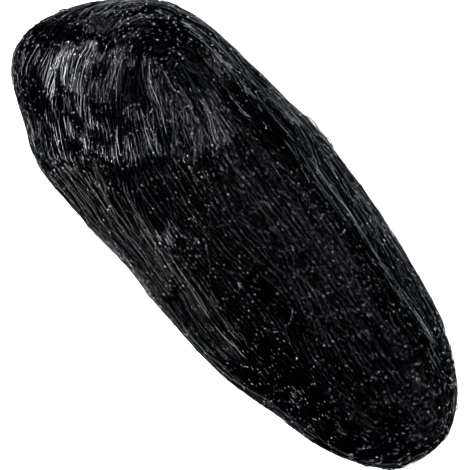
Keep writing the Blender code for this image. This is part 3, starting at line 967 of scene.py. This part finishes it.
def rim_loops(rng):
    """Points and normals of small slack loops round the widest line: half a sine of lift and
    sideways swing over a short run."""
    around = np.arange(RIM_LOOPS) / RIM_LOOPS + rng.uniform(-0.006, 0.006, RIM_LOOPS)
    length = rng.uniform(*RIM_LOOP_MM, RIM_LOOPS)
    share = np.linspace(0.0, 1.0, RIM_LOOP_POINTS)
    level = rng.uniform(0.85, 1.15, (RIM_LOOPS, 1))
    level = level + rng.uniform(-0.05, 0.05, (RIM_LOOPS, 1)) * share
    run = np.linalg.norm(look_up("roundway", around, np.ones(RIM_LOOPS)), axis=-1)
    around = around[:, None] + (length * MM / run)[:, None] * share
    hump = np.sin(np.pi * share)
    level = level + rng.uniform(-0.06, 0.06, (RIM_LOOPS, 1)) * hump
    height = -RIM_LOOP_SINK_MM + rng.uniform(*RIM_LOOP_RISE_MM, (RIM_LOOPS, 1)) * hump
    return laid_over(around, level, height)


laying = np.random.default_rng(90)
for name, (laid_points, laid_normal) in {
    "loose_strands": loose_paths(), "rim_loops": rim_loops(laying)
}.items():
    strand_part = tubes(laid_points, laid_normal, LOOSE_RADIUS_MM * MM, LOOSE_SIDES)
    run = np.repeat(laid_points[:, 3] - laid_points[:, 2], 2, 0)
    ends, ends_normal = laid_points[:, [0, -1]], laid_normal[:, [0, -1]]
    end_knots = beads(ends.reshape(-1, 3), run, ends_normal.reshape(-1, 3), KNOT_RINGS, laying)
    tones = np.full(len(strand_part[0]) + len(end_knots[0]), LOOSE_TONE)
    mesh = joined_mesh(name, [strand_part, end_knots], tones)
    add_piece(name, mesh, netting_strand, netting_knot)


# Studio
# A plain pale table in a dark room, with soft lamps round it, the strongest one on the left of
# the picture, so gloss shows only on strands that lie square to a lamp.

IMAGE_RIGHT = np.array([0.6665, 0.7455, 0.0])
IMAGE_UP = np.array([-0.7455, 0.6665, 0.0])
TABLE_TOP = -0.0002

table_mesh = bpy.data.meshes.new("table_top")
table_mesh.from_pydata(
    [(-6, -6, TABLE_TOP), (6, -6, TABLE_TOP), (6, 6, TABLE_TOP), (-6, 6, TABLE_TOP)],
    [], [(0, 1, 2, 3)],
)
table = bpy.data.objects.new("table_top", table_mesh)
bpy.context.scene.collection.objects.link(table)
table_paint, table_tree, table_shader = new_material(
    "table_white", Base_Color=(0.97, 0.97, 0.97, 1), Roughness=0.9,
    Specular_IOR_Level=0.0, Emission_Color=(1, 1, 1, 1),
)
table_seen = table_tree.nodes.new("ShaderNodeLightPath").outputs["Is Camera Ray"]
table_tree.links.new(scaled(table_tree, table_seen, 0.9), table_shader["Emission Strength"])
table.data.materials.append(table_paint)

# Places along the picture's right and up from its middle, and how far from white to blue
LAMP_COLUMNS = ("name", "right_m", "up_m", "height_m", "width_m", "tall_m", "watts", "blueness")
LAMPS = [
    ("left_softbox", -1.37, 0.19, 1.71, 0.6, 0.6, 120.0, 0.10),
    ("upper_softbox", -0.33, 1.88, 1.10, 0.6, 0.6, 11.0, 0.14),
    ("far_right_softbox", 1.07, 1.85, 0.53, 0.6, 0.5, 21.0, 0.16),
    ("upper_right_softbox", 1.65, 1.12, 0.93, 0.6, 0.5, 25.0, 0.16),
    ("right_softbox", 2.00, 0.54, 0.75, 0.6, 0.5, 18.0, 0.16),
    ("lower_right_softbox", 1.29, -1.08, 1.41, 0.6, 0.5, 5.0, 0.12),
    ("near_softbox", -1.46, -1.23, 1.10, 0.6, 0.5, 30.0, 0.03),
]
AIM_HEIGHT = 0.05
for name, right, up, height, width, tall, watts, blueness in LAMPS:
    lamp = bpy.data.lights.new(name, "AREA")
    lamp.shape = "RECTANGLE"
    lamp.size, lamp.size_y = width, tall
    lamp.energy = watts
    lamp.color = (1.0 - blueness, 1.0 - 0.6 * blueness, 1.0)
    holder = bpy.data.objects.new(name, lamp)
    bpy.context.scene.collection.objects.link(holder)
    place = IMAGE_RIGHT * right + IMAGE_UP * up + np.array([0, 0, height])
    holder.location = place
    aim = np.array([0.0, 0.0, AIM_HEIGHT]) - place
    holder.rotation_euler = mathutils.Vector(aim).to_track_quat("-Z", "Y").to_euler()

room = bpy.data.worlds.new("studio")
bpy.context.scene.world = room
room.use_nodes = True
room_nodes, room_links = room.node_tree.nodes, room.node_tree.links
room_seen = room_nodes.new("ShaderNodeLightPath")
room_tint = room_nodes.new("ShaderNodeMix")
room_tint.data_type = "RGBA"
room_tint.inputs["A"].default_value = (0.0032, 0.0034, 0.0060, 1.0)
room_tint.inputs["B"].default_value = (0.88, 0.88, 0.88, 1.0)
room_links.new(room_seen.outputs["Is Camera Ray"], room_tint.inputs["Factor"])
room_links.new(room_tint.outputs["Result"], room_nodes["Background"].inputs["Color"])

# The camera looks straight down, turned so that the hank lies as in the photo
CAMERA_DISTANCE = 1.45
VIEW_WIDTH = 0.3550
SENSOR_MM = 36.0
CAMERA_PLACE = (-0.0008, -0.0103)
scene = bpy.context.scene
scene.view_settings.view_transform = "Standard"
camera_data = bpy.data.cameras.new("camera")
camera_data.sensor_width = SENSOR_MM
camera_data.lens = SENSOR_MM * CAMERA_DISTANCE / VIEW_WIDTH
camera = bpy.data.objects.new("camera", camera_data)
scene.collection.objects.link(camera)
camera.matrix_world = mathutils.Matrix((
    (IMAGE_RIGHT[0], IMAGE_UP[0], 0.0, CAMERA_PLACE[0]),
    (IMAGE_RIGHT[1], IMAGE_UP[1], 0.0, CAMERA_PLACE[1]),
    (0.0, 0.0, 1.0, AIM_HEIGHT + CAMERA_DISTANCE),
    (0.0, 0.0, 0.0, 1.0),
))
scene.camera = camera
